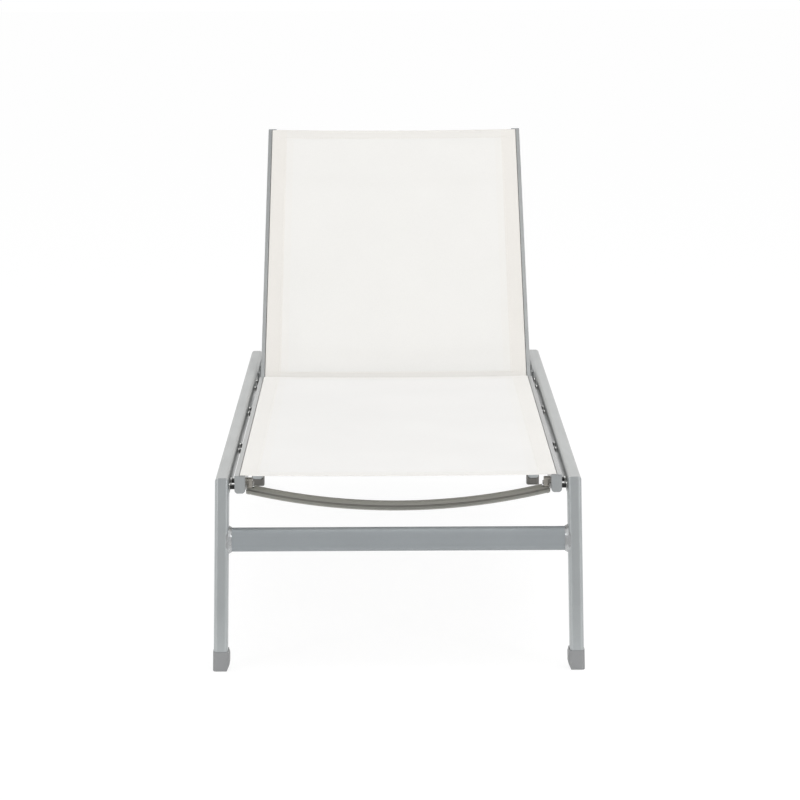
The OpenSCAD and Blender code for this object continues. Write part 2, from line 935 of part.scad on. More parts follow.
module hinge_bolts() {
    color(steel) placed() both_sides() in_seat()
        translate([hinge_head_x, hinge_y, 0])
            pan_screw(pin_dia, rail_in_x - hinge_head_x + nut_len - nut_flange_t,
                pin_dia + head_extra, head_h);
}

module hinge_spacers() {
    color(black) placed() both_sides() in_seat()
        translate([0, hinge_y, 0])
            washer_x(seat_out_x + 2 * side_play, rail_in_x - nut_flange_t,
                pin_spacer_dia, pin_dia + 2 * pin_fit);
}

module hinge_bushes() {
    color(black) placed() both_sides() in_back() {
        difference() {
            union() {
                rod_x(seat_in_x - bush_flange_t, seat_in_x, bush_dia + bush_flange_extra);
                rod_x(seat_in_x, seat_out_x + side_play, bush_dia);
            }
            rod_x(seat_in_x - bush_flange_t - over, seat_out_x + side_play + over, pin_dia + 2 * pin_fit);
        }
    }
}

// Racks and stops

rack_angles = [rack_first : -rack_step : rack_last];
rack_top_line = [for (a = rack_angles) below_path(a, foot_r + tip_gap)];
rack_front_y = rack_top_line[0][0];
rack_rear_y = rack_top_line[len(rack_top_line) - 1][0];
rack_screw_z = rack_high_z - rack_screw_drop;
rack_screw_ys = [for (share = rack_screw_shares) rack_front_y + share * (rack_rear_y - rack_front_y)];
stop_screw_zs = [rack_screw_z, rack_screw_z - stop_screw_pitch];

module rack_outline() {
    difference() {
        polygon(concat(
            rack_top_line,
            [[rack_rear_y, rack_low_z], [rack_front_y, rack_low_z]]
        ));
        for (a = notch_angles) translate(foot_point(a) - [0, notch_depth]) circle(foot_r + tip_gap);
    }
}

module rack() {
    plate_x = rail_in_x - rack_plate_t;
    difference() {
        union() {
            along_x(plate_x - rack_w, rack_w) rack_outline();
            translate([plate_x, rack_front_y, rack_low_z])
                cube([rack_plate_t, rack_rear_y - rack_front_y, rack_high_z - rack_low_z]);
        }
        for (y = rack_screw_ys)
            translate([plate_x, y, rack_screw_z])
                flush_hole(screw_dia, rack_plate_t + over, screw_head_dia, screw_head_h);
    }
}

module left_rack() {
    color(grey) placed() on_side(-1) rack();
}

module right_rack() {
    color(grey) placed() on_side(1) rack();
}

module rack_screws() {
    color(steel) placed() both_sides()
        for (y = rack_screw_ys)
            translate([rail_in_x - rack_plate_t, y, rack_screw_z])
                flush_screw(screw_dia, rack_plate_t + 3 * tube_wall, screw_head_dia, screw_head_h);
}

module back_stop() {
    plate_x = rail_in_x - stop_arm_t;
    difference() {
        union() {
            translate([rail_in_x - stop_reach, stop_y - stop_w / 2, shelf_top - stop_arm_t])
                cube([stop_reach, stop_w, stop_arm_t]);
            translate([plate_x, stop_y - stop_w / 2, shelf_top - stop_arm_t])
                cube([stop_arm_t, stop_w, rack_high_z - shelf_top + stop_arm_t]);
        }
        for (z = stop_screw_zs)
            translate([plate_x, stop_y, z])
                flush_hole(screw_dia, stop_arm_t + over, screw_head_dia, screw_head_h);
    }
}

module back_stops() {
    color(grey) placed() both_sides() back_stop();
}

module stop_pads() {
    color(black) placed() both_sides()
        translate([rail_in_x - stop_reach, stop_y - stop_w / 2, shelf_top]) cube([pad_w, stop_w, pad_t]);
}

module stop_screws() {
    color(steel) placed() both_sides()
        for (z = stop_screw_zs)
            translate([rail_in_x - stop_arm_t, stop_y, z])
                flush_screw(screw_dia, stop_arm_t + 3 * tube_wall, screw_head_dia, screw_head_h);
}

// Backrest

module back_rail() {
    in_back() sling_rail(
        cap_t - back_tail, back_len - cap_t, [],
        [[0, seat_out_x + over, bush_dia],
         [bail_s, slot_x, pin_dia + 2 * nut_wall]],
        back_screw_ys);
}

module left_back_rail() {
    color(silver) placed() on_side(-1) back_rail();
}

module right_back_rail() {
    color(silver) placed() on_side(1) back_rail();
}

module back_rail_caps() {
    color(grey) placed() both_sides() in_back() {
        translate([0, -back_tail, 0]) rail_cap(short_plug_len);
        translate([0, back_len, 0]) rear_rail_cap(plug_len);
    }
}

module upper_back_spreader() {
    color(grey) placed() in_back() translate([0, upper_spreader_s, 0]) bow_tube(back_bow);
}

module lower_back_spreader() {
    color(grey) placed() in_back() translate([0, lower_spreader_s, 0]) bow_tube(back_bow);
}

module back_spreader_blocks() {
    color(grey) placed() both_sides() in_back()
        for (y = back_screw_ys) translate([0, y, 0]) block(back_bow);
}

module back_spreader_screws() {
    color(steel) placed() both_sides() in_back()
        for (y = back_screw_ys) translate([0, y, 0]) block_screws(back_bow);
}

back_sling_start = cap_t - back_tail + back_sling_gap;

module back_sling() {
    color(white) placed() in_back() sling(back_sling_start, back_len - sling_inset);
}

module back_splines() {
    color(black) placed() in_back() splines(back_sling_start, back_len - sling_inset);
}

// Bail

bail_in_x = arm_top_x - arm_dia / 2 - bush_flange_t;
bail_out_x = arm_top_x + arm_dia / 2 + bush_flange_t;

module bail_pivot_bolts() {
    color(steel) placed() both_sides() in_back() translate([0, bail_s, 0])
        translate([bail_in_x - side_play, 0, 0])
            pan_screw(pin_dia, seat_in_x + pivot_nut_len - bail_in_x, pin_dia + head_extra, head_h);
}

module bail_pivot_spacers() {
    color(black) placed() both_sides() in_back() translate([0, bail_s, 0])
        washer_x(bail_out_x + side_play, seat_in_x - nut_flange_t, pin_spacer_dia, pin_dia + 2 * bolt_fit);
}

module bail_pivot_nuts() {
    color(steel) placed() both_sides() in_back() translate([seat_in_x - nut_flange_t, bail_s, 0])
        rivet_nut(pin_dia, pivot_nut_len);
}

// The half space before a mitre of an arm, in the plane of X and Y
module before_mitre(p) {
    translate([p[0], p[1], 0]) rotate([0, 0, arm_lean / 2])
        translate([-reach, -2 * reach, -reach]) cube([2 * reach, 2 * reach, 2 * reach]);
}

// The tube of an arm, or its hollow, in three mitred runs along +Y.
// The bends leave the leaning run a little thinner.
module arm_run(dia, from, to) {
    a = [arm_top_x, arm_mitre];
    b = [arm_low_x, arm_mitre + (arm_top_x - arm_low_x) / tan(arm_lean)];
    lean_dia = dia - 2 * arm_neck;
    intersection() {
        translate([arm_top_x, from, 0]) rod_y(arm_mitre - from + dia, dia);
        before_mitre(a);
    }
    intersection() {
        difference() {
            translate([a[0], a[1], 0]) rotate([0, 0, arm_lean]) translate([0, -dia, 0])
                rod_y(norm(b - a) + 2 * dia, lean_dia);
            before_mitre(a);
        }
        before_mitre(b);
    }
    difference() {
        translate([arm_low_x, b[1] - dia, 0]) rod_y(to - b[1] + dia, dia);
        before_mitre(b);
    }
}

module rod_y(len, dia) {
    rotate([-90, 0, 0]) cylinder(h = len, d = dia);
}

module bail_arm() {
    difference() {
        arm_run(arm_dia, -arm_over, bail_len + arm_over);
        arm_run(arm_dia - 2 * arm_wall, arm_wall - arm_over, bail_len + arm_over - arm_wall);
        rod_x(arm_top_x - arm_dia, arm_top_x + arm_dia, bush_dia);
        translate([0, bail_len, 0])
            rod_x(arm_low_x - arm_dia, arm_low_x + arm_dia, rod_dia + 2 * rod_fit);
    }
}

module left_bail_arm() {
    color(grey) placed() on_side(-1) in_bail() bail_arm();
}

module right_bail_arm() {
    color(grey) placed() on_side(1) in_bail() bail_arm();
}

module bail_foot_tube() {
    end_x = arm_low_x - arm_dia / 2 - side_play;
    color(grey) placed() in_bail() translate([0, bail_len, 0])
        washer_x(-end_x, end_x, foot_tube_dia, rod_dia + 2 * rod_fit);
}

module bail_foot_rod() {
    color(steel) placed() in_bail() translate([0, bail_len, 0]) rod_x(-rod_end_x, rod_end_x, rod_dia);
}

module bail_bushes() {
    color(black) placed() both_sides() in_bail() difference() {
        union() {
            rod_x(bail_in_x, bail_out_x, bush_dia);
            rod_x(bail_in_x, bail_in_x + bush_flange_t, bush_dia + bush_flange_extra);
            rod_x(bail_out_x - bush_flange_t, bail_out_x, bush_dia + bush_flange_extra);
        }
        rod_x(bail_in_x - over, bail_out_x + over, pin_dia + 2 * pin_fit);
    }
}

left_side_rail();
right_side_rail();
front_left_leg();
front_right_leg();
rear_left_leg();
rear_right_leg();
front_left_foot();
front_right_foot();
rear_left_foot();
rear_right_foot();
front_crossbar();
rear_crossbar();
crossbar_collars();
left_seat_rail();
right_seat_rail();
seat_rail_caps();
front_seat_spreader();
middle_seat_spreader();
rear_seat_spreader();
seat_spreader_blocks();
seat_spreader_screws();
seat_sling();
seat_splines();
rail_bolts();
rail_spacers();
rivet_nuts();
hinge_bolts();
hinge_spacers();
left_rack();
right_rack();
rack_screws();
back_stops();
stop_pads();
stop_screws();
left_back_rail();
right_back_rail();
back_rail_caps();
upper_back_spreader();
lower_back_spreader();
back_spreader_blocks();
back_spreader_screws();
back_sling();
back_splines();
hinge_bushes();
bail_pivot_bolts();
bail_pivot_spacers();
bail_pivot_nuts();
left_bail_arm();
right_bail_arm();
bail_foot_tube();
bail_foot_rod();
bail_bushes();
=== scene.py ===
"""Outdoor chaise lounge: the dressed model, in metres, in the CAD's frame."""

import math

import bpy
from mathutils import Matrix, Vector


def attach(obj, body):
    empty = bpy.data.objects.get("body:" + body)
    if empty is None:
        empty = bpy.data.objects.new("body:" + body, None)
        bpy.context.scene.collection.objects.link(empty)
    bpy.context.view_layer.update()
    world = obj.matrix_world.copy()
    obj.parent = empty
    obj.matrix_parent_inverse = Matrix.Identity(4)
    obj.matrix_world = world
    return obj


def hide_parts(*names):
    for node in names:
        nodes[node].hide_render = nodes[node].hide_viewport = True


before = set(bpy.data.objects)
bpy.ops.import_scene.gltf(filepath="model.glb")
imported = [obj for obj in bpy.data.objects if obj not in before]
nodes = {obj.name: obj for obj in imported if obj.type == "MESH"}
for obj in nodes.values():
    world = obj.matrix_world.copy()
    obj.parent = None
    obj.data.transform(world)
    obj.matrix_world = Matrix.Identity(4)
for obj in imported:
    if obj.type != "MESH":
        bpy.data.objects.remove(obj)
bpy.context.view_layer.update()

# ---------------------------------------------------------------- sizes that part.scad gives, in metres
HINGE = Vector((0, 0.292845, 0.3385))
BACK_TILT = math.radians(40)
FRONT = -0.8841554
RAIL_IN = 0.276
SLOT_X = 0.2855
CHANNEL_Z, SPLINE_WRAP = 0.0151, 0.00425
SHEET_T, SHEET_LOW, SAG = 0.0008, 0.02285, 0.002
SEAT_FROM, SEAT_TO = FRONT + 0.007, FRONT + 1.103
BACK_FROM, BACK_TO = -0.018, 0.761
END_HEM, SIDE_HEM, SIDE_BAND = 0.028, 0.0245, 0.040
SEAT_BOW, BACK_BOW, BOW_END_Z = 0.033, 0.027, -0.0088
RAIL_LOW, TUBE_D = 0.320, 0.038

# ---------------------------------------------------------------- small helpers


def srgb(*levels):
    """A colour from its sRGB levels, 0 to 255."""
    line = [v / 255 for v in levels]
    return [v / 12.92 if v <= 0.04045 else ((v + 0.055) / 1.055) ** 2.4 for v in line] + [1.0]


def mesh_piece(name, verts, faces, look, body, place=None):
    data = bpy.data.meshes.new(name)
    data.from_pydata([tuple(v) for v in verts], [], faces)
    data.validate()
    data.update()
    piece = bpy.data.objects.new(name, data)
    bpy.context.scene.collection.objects.link(piece)
    if place is not None:
        piece.matrix_world = place
    for poly in data.polygons:
        poly.use_smooth = True
    data.materials.append(look)
    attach(piece, body)
    return piece


def solidify(piece, thickness):
    mod = piece.modifiers.new("thickness", "SOLIDIFY")
    mod.thickness = thickness
    mod.offset = 0.0
    return piece


class Tree:
    """Builds one material's nodes."""

    def __init__(self, name):
        self.mat = bpy.data.materials.new(name)
        self.mat.use_nodes = True
        self.tree = self.mat.node_tree
        self.tree.nodes.clear()
        out = self.add("ShaderNodeOutputMaterial")
        self.shader = self.add("ShaderNodeBsdfPrincipled")
        self.link(self.shader.outputs[0], out.inputs["Surface"])

    def add(self, kind, inputs=None, **props):
        node = self.tree.nodes.new(kind)
        for key, value in props.items():
            setattr(node, key, value)
        for key, value in (inputs or {}).items():
            self.put(node.inputs[key], value)
        return node

    def put(self, socket, value):
        if isinstance(value, bpy.types.NodeSocket):
            self.link(value, socket)
        else:
            socket.default_value = value

    def link(self, a, b):
        self.tree.links.new(a, b)

    def math(self, op, a, b=0.0):
        node = self.add("ShaderNodeMath", operation=op)
        for socket, value in zip(node.inputs, (a, b)):
            self.put(socket, value)
        return node.outputs[0]

    def coords(self):
        return self.add("ShaderNodeTexCoord").outputs["Object"]

    def scaled(self, vector, scale, rotation=(0, 0, 0)):
        node = self.add("ShaderNodeMapping", {"Vector": vector})
        node.inputs["Scale"].default_value = scale
        node.inputs["Rotation"].default_value = rotation
        return node.outputs[0]

    def noise(self, vector, scale, detail=2.0, rough=0.5):
        node = self.add("ShaderNodeTexNoise", {"Vector": vector, "Scale": scale, "Detail": detail, "Roughness": rough})
        return node.outputs["Fac"]

    def spread(self, value, low, high, to_low=0.0, to_high=1.0):
        node = self.add(
            "ShaderNodeMapRange",
            {"Value": value, "From Min": low, "From Max": high, "To Min": to_low, "To Max": to_high},
        )
        node.clamp = True
        return node.outputs[0]

    def blend(self, share, a, b):
        node = self.add("ShaderNodeMix", data_type="RGBA")
        self.put(node.inputs[0], share)
        self.put(node.inputs[6], a)
        self.put(node.inputs[7], b)
        return node.outputs[2]

    def times(self, colour, share):
        """The colour made darker or lighter by a share that nodes give."""
        grey = self.add("ShaderNodeCombineColor")
        for socket in grey.inputs[:3]:
            self.put(socket, share)
        node = self.add("ShaderNodeMix", data_type="RGBA", blend_type="MULTIPLY")
        node.inputs[0].default_value = 1.0
        self.put(node.inputs[6], colour)
        self.put(node.inputs[7], grey.outputs[0])
        return node.outputs[2]

    def bump(self, height, strength, distance):
        node = self.add("ShaderNodeBump", {"Height": height, "Strength": strength, "Distance": distance})
        return node.outputs[0]

    def finish(self, colour, rough, normal=None, **constants):
        self.put(self.shader.inputs["Base Color"], colour)
        self.put(self.shader.inputs["Roughness"], rough)
        if normal is not None:
            self.link(normal, self.shader.inputs["Normal"])
        for key, value in constants.items():
            self.shader.inputs[key.replace("_", " ")].default_value = value
        return self.mat


# ---------------------------------------------------------------- materials

FLAKE, PEEL = 2600, 620  # noise scales of the powder coat's flake and orange peel
THREAD = 0.0016  # from thread to thread in the mesh
GROOVE_FROM, GROOVE_TO = 0.0021, 0.0012  # off the spreader's middle line, where the edge of the groove's painted shade and added roughness starts and ends


def powder_coat(name, base, metallic, rough, scratches=0.0):
    """Silver powder coat on aluminium: fine flake, orange peel, faint handling marks."""
    t = Tree(name)
    at = t.coords()
    flake = t.noise(at, FLAKE, 1.0)
    cloud = t.noise(at, 9, 3.0)
    rub = t.noise(t.scaled(at, (40, 6, 40)), 1.0, 4.0, 0.6)
    share = t.math("ADD", t.spread(flake, 0.3, 0.7, 0.93, 1.05), t.spread(cloud, 0.3, 0.7, -0.02, 0.02))
    colour = t.times(base, share)
    if scratches:
        long = t.noise(t.scaled(at, (900, 900, 60), (0.25, 0.4, 0)), 1.0, 2.0)
        where = t.noise(at, 14, 1.0)
        mark = t.math("MULTIPLY", t.spread(long, 0.70, 0.73), t.spread(where, 0.56, 0.62))
        colour = t.blend(t.math("MULTIPLY", mark, scratches), colour, srgb(205, 205, 203))
    rubbed = t.spread(rub, 0.35, 0.7, rough - 0.04, rough + 0.07)
    roughness = t.math("ADD", rubbed, t.spread(flake, 0.3, 0.7, -0.03, 0.03))
    peel = t.noise(at, PEEL, 2.0)
    return t.finish(colour, roughness, t.bump(peel, 0.10, 0.0002), Metallic=metallic)


def grooved(name, tilt, bow):
    """The coat on a spreader that is bowed down by its bow, in rails that tilt about the hinge. In the groove along
    the spreader's middle line it is rougher, and darkened to 0.6 by painted shade."""
    base = srgb(161, 160, 153)
    radius = (RAIL_IN**2 + bow**2) / (2 * bow)
    centre = radius - bow + BOW_END_Z
    t = Tree(name)
    at = t.coords()
    part = t.add("ShaderNodeSeparateXYZ", {"Vector": at})
    flake = t.noise(at, FLAKE, 1.0)
    y = t.math("MULTIPLY", t.math("SUBTRACT", part.outputs["Y"], HINGE.y), -math.sin(tilt))
    z = t.math("MULTIPLY", t.math("SUBTRACT", part.outputs["Z"], HINGE.z), math.cos(tilt))
    drop = t.math("SUBTRACT", t.math("ADD", y, z), centre)
    far = t.math("SQRT", t.math("ADD", t.math("POWER", part.outputs["X"], 2.0), t.math("POWER", drop, 2.0)))
    off = t.math("ABSOLUTE", t.math("SUBTRACT", far, radius))
    groove = t.spread(off, GROOVE_TO, GROOVE_FROM, 1.0, 0.0)
    coat = t.times(base, t.spread(flake, 0.3, 0.7, 0.94, 1.05))
    # painted shade: the coat is darkened to 0.6 in the groove band
    colour = t.blend(groove, coat, t.times(coat, 0.6))
    peel = t.noise(at, PEEL, 2.0)
    roughness = t.math("ADD", t.math("MULTIPLY", groove, 0.2), 0.38)
    return t.finish(colour, roughness, t.bump(peel, 0.10, 0.0002), Metallic=0.6)


def moulded(name, base, rough=0.5, grain=900):
    """Moulded plastic with a fine spark texture and a little handling shine."""
    t = Tree(name)
    at = t.coords()
    spark = t.noise(at, grain, 2.0, 0.6)
    cloud = t.noise(at, 22, 3.0)
    share = t.math("ADD", t.spread(spark, 0.3, 0.7, 0.96, 1.03), t.spread(cloud, 0.3, 0.7, -0.03, 0.02))
    colour = t.times(base, share)
    roughness = t.spread(cloud, 0.3, 0.7, rough - 0.07, rough + 0.07)
    return t.finish(colour, roughness, t.bump(spark, 0.25, 0.0002))


def rubber(name, base):
    t = Tree(name)
    at = t.coords()
    fine = t.noise(at, 1500, 3.0, 0.7)
    dust = t.noise(at, 60, 4.0)
    colour = t.blend(t.spread(dust, 0.45, 0.75, 0.0, 0.25), base, srgb(96, 94, 90))
    return t.finish(colour, t.spread(dust, 0.3, 0.7, 0.72, 0.9), t.bump(fine, 0.4, 0.0002))


def plated(name, base):
    """Zinc-plated steel: fine turning lines, faint clouding and small dull spots."""
    t = Tree(name)
    at = t.coords()
    cloud = t.noise(at, 160, 3.0)
    spots = t.noise(at, 700, 2.0)
    share = t.math("SUBTRACT", t.spread(cloud, 0.3, 0.7, 0.92, 1.04), t.spread(spots, 0.62, 0.75, 0.0, 0.10))
    colour = t.times(base, share)
    lines = t.noise(t.scaled(at, (2600, 260, 260)), 1.0, 2.0)
    return t.finish(colour, t.spread(cloud, 0.3, 0.7, 0.23, 0.38), t.bump(lines, 0.12, 0.0001), Metallic=0.9)


def woven(name, base, alpha=1.0, ends=None, band_base=None):
    """White coated mesh in plain weave. ends are the local Y of the cloth's two ends; the bands that lie double
    along its edges have a warmer and a little darker base of their own."""
    t = Tree(name)
    at = t.coords()
    part = t.add("ShaderNodeSeparateXYZ", {"Vector": at})
    x, y = part.outputs["X"], part.outputs["Y"]
    turn = math.pi / THREAD
    warp = t.math("SINE", t.math("MULTIPLY", x, turn))
    weft = t.math("SINE", t.math("MULTIPLY", y, turn))
    weave = t.math("MULTIPLY", warp, weft)
    over = t.math("ABSOLUTE", weave)
    strand = t.noise(t.scaled(at, (700, 90, 90)), 1.0, 2.0)
    slub = t.noise(t.scaled(at, (90, 700, 90)), 1.0, 2.0)
    cloud = t.noise(at, 5.0, 3.0)
    share = t.math("ADD", t.spread(over, 0.0, 1.0, 0.965, 1.012), t.spread(strand, 0.3, 0.7, -0.008, 0.008))
    share = t.math("ADD", share, t.spread(slub, 0.3, 0.7, -0.008, 0.008))
    share = t.math("ADD", share, t.spread(cloud, 0.3, 0.7, -0.010, 0.010))
    if band_base is None:
        colour = t.times(base, share)
    else:
        def past(value, edge, level):
            """Rises from 0 to a level where the value passes an edge."""
            return t.spread(value, edge - THREAD / 2, edge + THREAD / 2, 0.0, level)

        side = t.math("ABSOLUTE", x)
        middle, half = (ends[0] + ends[1]) / 2, (ends[1] - ends[0]) / 2
        along = t.math("ABSOLUTE", t.math("SUBTRACT", y, middle))
        inner, outer = past(side, RAIL_IN - SIDE_BAND, 0.3), past(side, RAIL_IN - SIDE_HEM, 0.7)
        band = t.math("MAXIMUM", t.math("ADD", inner, outer), past(along, half - END_HEM, 0.6))
        warm = t.times(band_base, share)
        colour = t.blend(band, t.times(base, share), warm)
    fine = t.math("ADD", t.math("MULTIPLY", over, 0.8), t.math("MULTIPLY", strand, 0.2))
    return t.finish(
        colour, t.spread(over, 0.0, 1.0, 0.85, 0.75), t.bump(fine, 0.35, 0.0003),
        Alpha=alpha, Specular_IOR_Level=0.3, Sheen_Weight=0.08, Sheen_Roughness=0.5,
    )


def thread(name, base):
    t = Tree(name)
    at = t.coords()
    ply = t.noise(t.scaled(at, (3000, 3000, 3000)), 1.0, 1.0)
    return t.finish(t.times(base, t.spread(ply, 0.3, 0.7, 0.9, 1.04)), 0.55, t.bump(ply, 0.4, 0.0002))


def bead(name, base):
    """A coated weld bead: ripples under the same powder coat."""
    t = Tree(name)
    at = t.coords()
    ripple = t.noise(at, 420, 2.0)
    flake = t.noise(at, FLAKE, 1.0)
    colour = t.times(base, t.spread(flake, 0.3, 0.7, 0.94, 1.04))
    return t.finish(colour, t.spread(ripple, 0.3, 0.7, 0.34, 0.46), t.bump(ripple, 0.5, 0.0006), Metallic=0.35)


# One silver powder coat covers the frame. Its copies below set the base lighter or darker by part,
# seat rails (a little darker). Painted highlight: collars (a little lighter). Legs' and side rails' copies are nearly
# alike.
# standing in for light and shade. Painted shade: crossbars and bail tubes (darker), back rails (much darker),
silver = powder_coat("silver powder coat", srgb(177, 181, 182), 0.6, 0.38, scratches=0.35)
silver_side = powder_coat("silver powder coat, side rails", srgb(179, 181, 180), 0.6, 0.38, scratches=0.35)
silver_bar_painted_shade = powder_coat("silver powder coat, crossbars, painted shade", srgb(156, 161, 164), 0.4, 0.52)
silver_rail = powder_coat("silver powder coat, seat rails", srgb(172, 173, 172), 0.55, 0.32)
silver_back_painted_shade = powder_coat("silver powder coat, back rails, painted shade", srgb(134, 136, 136), 0.5, 0.4)
silver_ring_painted_highlight = powder_coat("silver powder coat, collars, painted highlight", srgb(184, 186, 187), 0.7, 0.2)
seat_bow = grooved("silver powder coat, seat spreaders", 0.0, SEAT_BOW)
back_bow = grooved("silver powder coat, back spreaders", BACK_TILT, BACK_BOW)
grey_cap = moulded("grey moulded nylon", srgb(150, 153, 154))
grey_foot = moulded("grey moulded foot", srgb(146, 147, 148))
# The rear feet take a darker copy of the feet's grey: painted shade under the chaise.
shaded_rear_foot = moulded("moulded foot, rear, painted shade", srgb(112, 110, 106))
dark_block = moulded("dark moulded nylon", srgb(170, 166, 158))
black_nylon = moulded("black nylon", srgb(38, 38, 38), 0.42, 1400)
pad_rubber = rubber("black rubber", srgb(34, 34, 34))
zinc = plated("zinc-plated steel", srgb(190, 190, 188))
seat_cloth = woven("white mesh, seat", srgb(250, 249, 247), 0.9, (SEAT_FROM, SEAT_TO), srgb(250, 248, 244))
# The back's mesh and its bands are a darker copy of the seat's white mesh: painted shade.
back_cloth = woven("white mesh, back, painted shade", srgb(242, 241, 238), 0.86, (BACK_FROM, BACK_TO), srgb(241, 238, 233))
fold_cloth = woven("white mesh, folded", srgb(250, 248, 244))
white_thread = thread("white thread", srgb(248, 247, 243))
coated_bead = bead("coated weld bead", srgb(158, 162, 164))

LOOKS = {
    silver_side: ["left_side_rail", "right_side_rail"],
    silver: ["front_left_leg", "front_right_leg", "rear_left_leg", "rear_right_leg"],
    silver_bar_painted_shade: ["front_crossbar", "rear_crossbar", "left_bail_arm", "right_bail_arm", "bail_foot_tube"],
    silver_ring_painted_highlight: ["crossbar_collars"],
    silver_rail: ["left_seat_rail", "right_seat_rail"],
    silver_back_painted_shade: ["left_back_rail", "right_back_rail"],
    seat_bow: ["front_seat_spreader", "middle_seat_spreader", "rear_seat_spreader"],
    back_bow: ["upper_back_spreader", "lower_back_spreader"],
    grey_cap: ["seat_rail_caps", "back_rail_caps", "left_rack", "right_rack", "back_stops"],
    grey_foot: ["front_left_foot", "front_right_foot"],
    shaded_rear_foot: ["rear_left_foot", "rear_right_foot"],
    dark_block: ["seat_spreader_blocks", "back_spreader_blocks"],
    black_nylon: [
        "rail_spacers", "hinge_spacers", "hinge_bushes", "bail_pivot_spacers", "bail_bushes",
        "seat_splines", "back_splines",
    ],
    pad_rubber: ["stop_pads"],
    zinc: [
        "seat_spreader_screws", "back_spreader_screws", "rail_bolts", "rivet_nuts", "hinge_bolts", "rack_screws",
        "stop_screws", "bail_pivot_bolts", "bail_pivot_nuts", "bail_foot_rod",
    ],
}
for look, names in LOOKS.items():
    for name in names:
        data = nodes[name].data
        data.materials.clear()
        data.materials.append(look)

# ---------------------------------------------------------------- slings

SEAT_PLACE = Matrix.Translation((0, 0, HINGE.z))
BACK_PLACE = Matrix.Translation(HINGE) @ Matrix.Rotation(BACK_TILT, 4, "X")
WRAP_FROM, WRAP_TURN = 110, 330  # degrees that the cloth runs round its spline
UNDER = 0.0009  # from the cloth's middle layer down to a fold's


def inward(x):
    """1 in the middle between the rails, 0 at them."""
    return max(0.0, 1 - (x / RAIL_IN) ** 2)


def middle_z(x):
    """Height of the cloth's middle layer above the bolt line."""
    return SHEET_LOW + SHEET_T / 2 - SAG * inward(x)


def cross_profile():
    """The cloth's path across the chaise: round the left spline, up its slot, across and down again."""
    turns, steps = 20, 56
    half = []
    for i in range(turns + 1):
        a = math.radians(WRAP_FROM + WRAP_TURN * i / turns)
        half.append((-SLOT_X + SPLINE_WRAP * math.cos(a), CHANNEL_Z + SPLINE_WRAP * math.sin(a)))
    half += [(-SLOT_X, 0.0206), (-SLOT_X, 0.0220), (-SLOT_X + 0.0002, 0.0229)]
    half += [(-SLOT_X + 0.0008, middle_z(SLOT_X) - 0.0001)]
    half += [(x, middle_z(x)) for x in (-0.2825, -0.2792)]
    across = [RAIL_IN * (2 * i / steps - 1) for i in range(steps + 1)]
    return half + [(x, middle_z(x)) for x in across] + [(-x, z) for x, z in reversed(half)]


def sling(name, look, place, body, start, end, front_dip, rear_dip):
    """The cloth as one sheet; its ends bow in by their dip between the rails."""
    path, rows = cross_profile(), 70
    verts, faces = [], []
    # a row close to each end keeps the cloth's shading flat up to its cut edge
    shares = [0.0, 0.0006] + [j / rows for j in range(1, rows)] + [0.9994, 1.0]
    for v in shares:
        for x, z in path:
            low, high = start + front_dip * inward(x), end - rear_dip * inward(x)
            verts.append((x, low + v * (high - low), z))
    n = len(path)
    for j in range(len(shares) - 1):
        for i in range(n - 1):
            a = j * n + i
            faces.append((a, a + 1, a + n + 1, a + n))
    piece = mesh_piece(name, verts, faces, look, body, place)
    return solidify(piece, SHEET_T)


def folds(name, place, body, start, end, front_dip, rear_dip):
    """The turned-under edges: a fold at each end, and the spline pockets' free edges along the rails."""
    verts, faces = [], []
    reach = RAIL_IN - 0.0008

    def strip(rows):
        base, width = len(verts), len(rows[0])
        for row in rows:
            verts.extend(row)
        for j in range(len(rows) - 1):
            for i in range(width - 1):
                a = base + j * width + i
                faces.append((a, a + 1, a + width + 1, a + width))

    # from an end's upper edge, round it and back under the cloth
    turns = [math.radians(a) for a in (30, 8, -15, -38, -60)]
    loop = [(-0.0007 * math.cos(a), 0.0005 * math.sin(a) - 0.0002) for a in turns]
    loop += [(d, -UNDER) for d in (0.0006, 0.006, END_HEM * 0.5, END_HEM)]
    for tip, way, dip in ((start, 1, front_dip), (end, -1, rear_dip)):
        rows = []
        for i in range(49):
            x = reach * (2 * i / 48 - 1)
            edge = tip + way * dip * inward(x)
            rows.append([(x, edge + way * d, middle_z(x) + z) for d, z in loop])
        strip(rows)
    for side in (-1, 1):
        rows = []
        for j in range(41):
            y = start + END_HEM + 0.001 + (end - start - 2 * END_HEM - 0.002) * j / 40
            xs = [reach, RAIL_IN - SIDE_HEM * 0.5, RAIL_IN - SIDE_HEM]
            rows.append([(side * x, y, middle_z(x) - UNDER) for x in xs])
        strip(rows)
    piece = mesh_piece(name, verts, faces, fold_cloth, body, place)
    return solidify(piece, 0.0006)


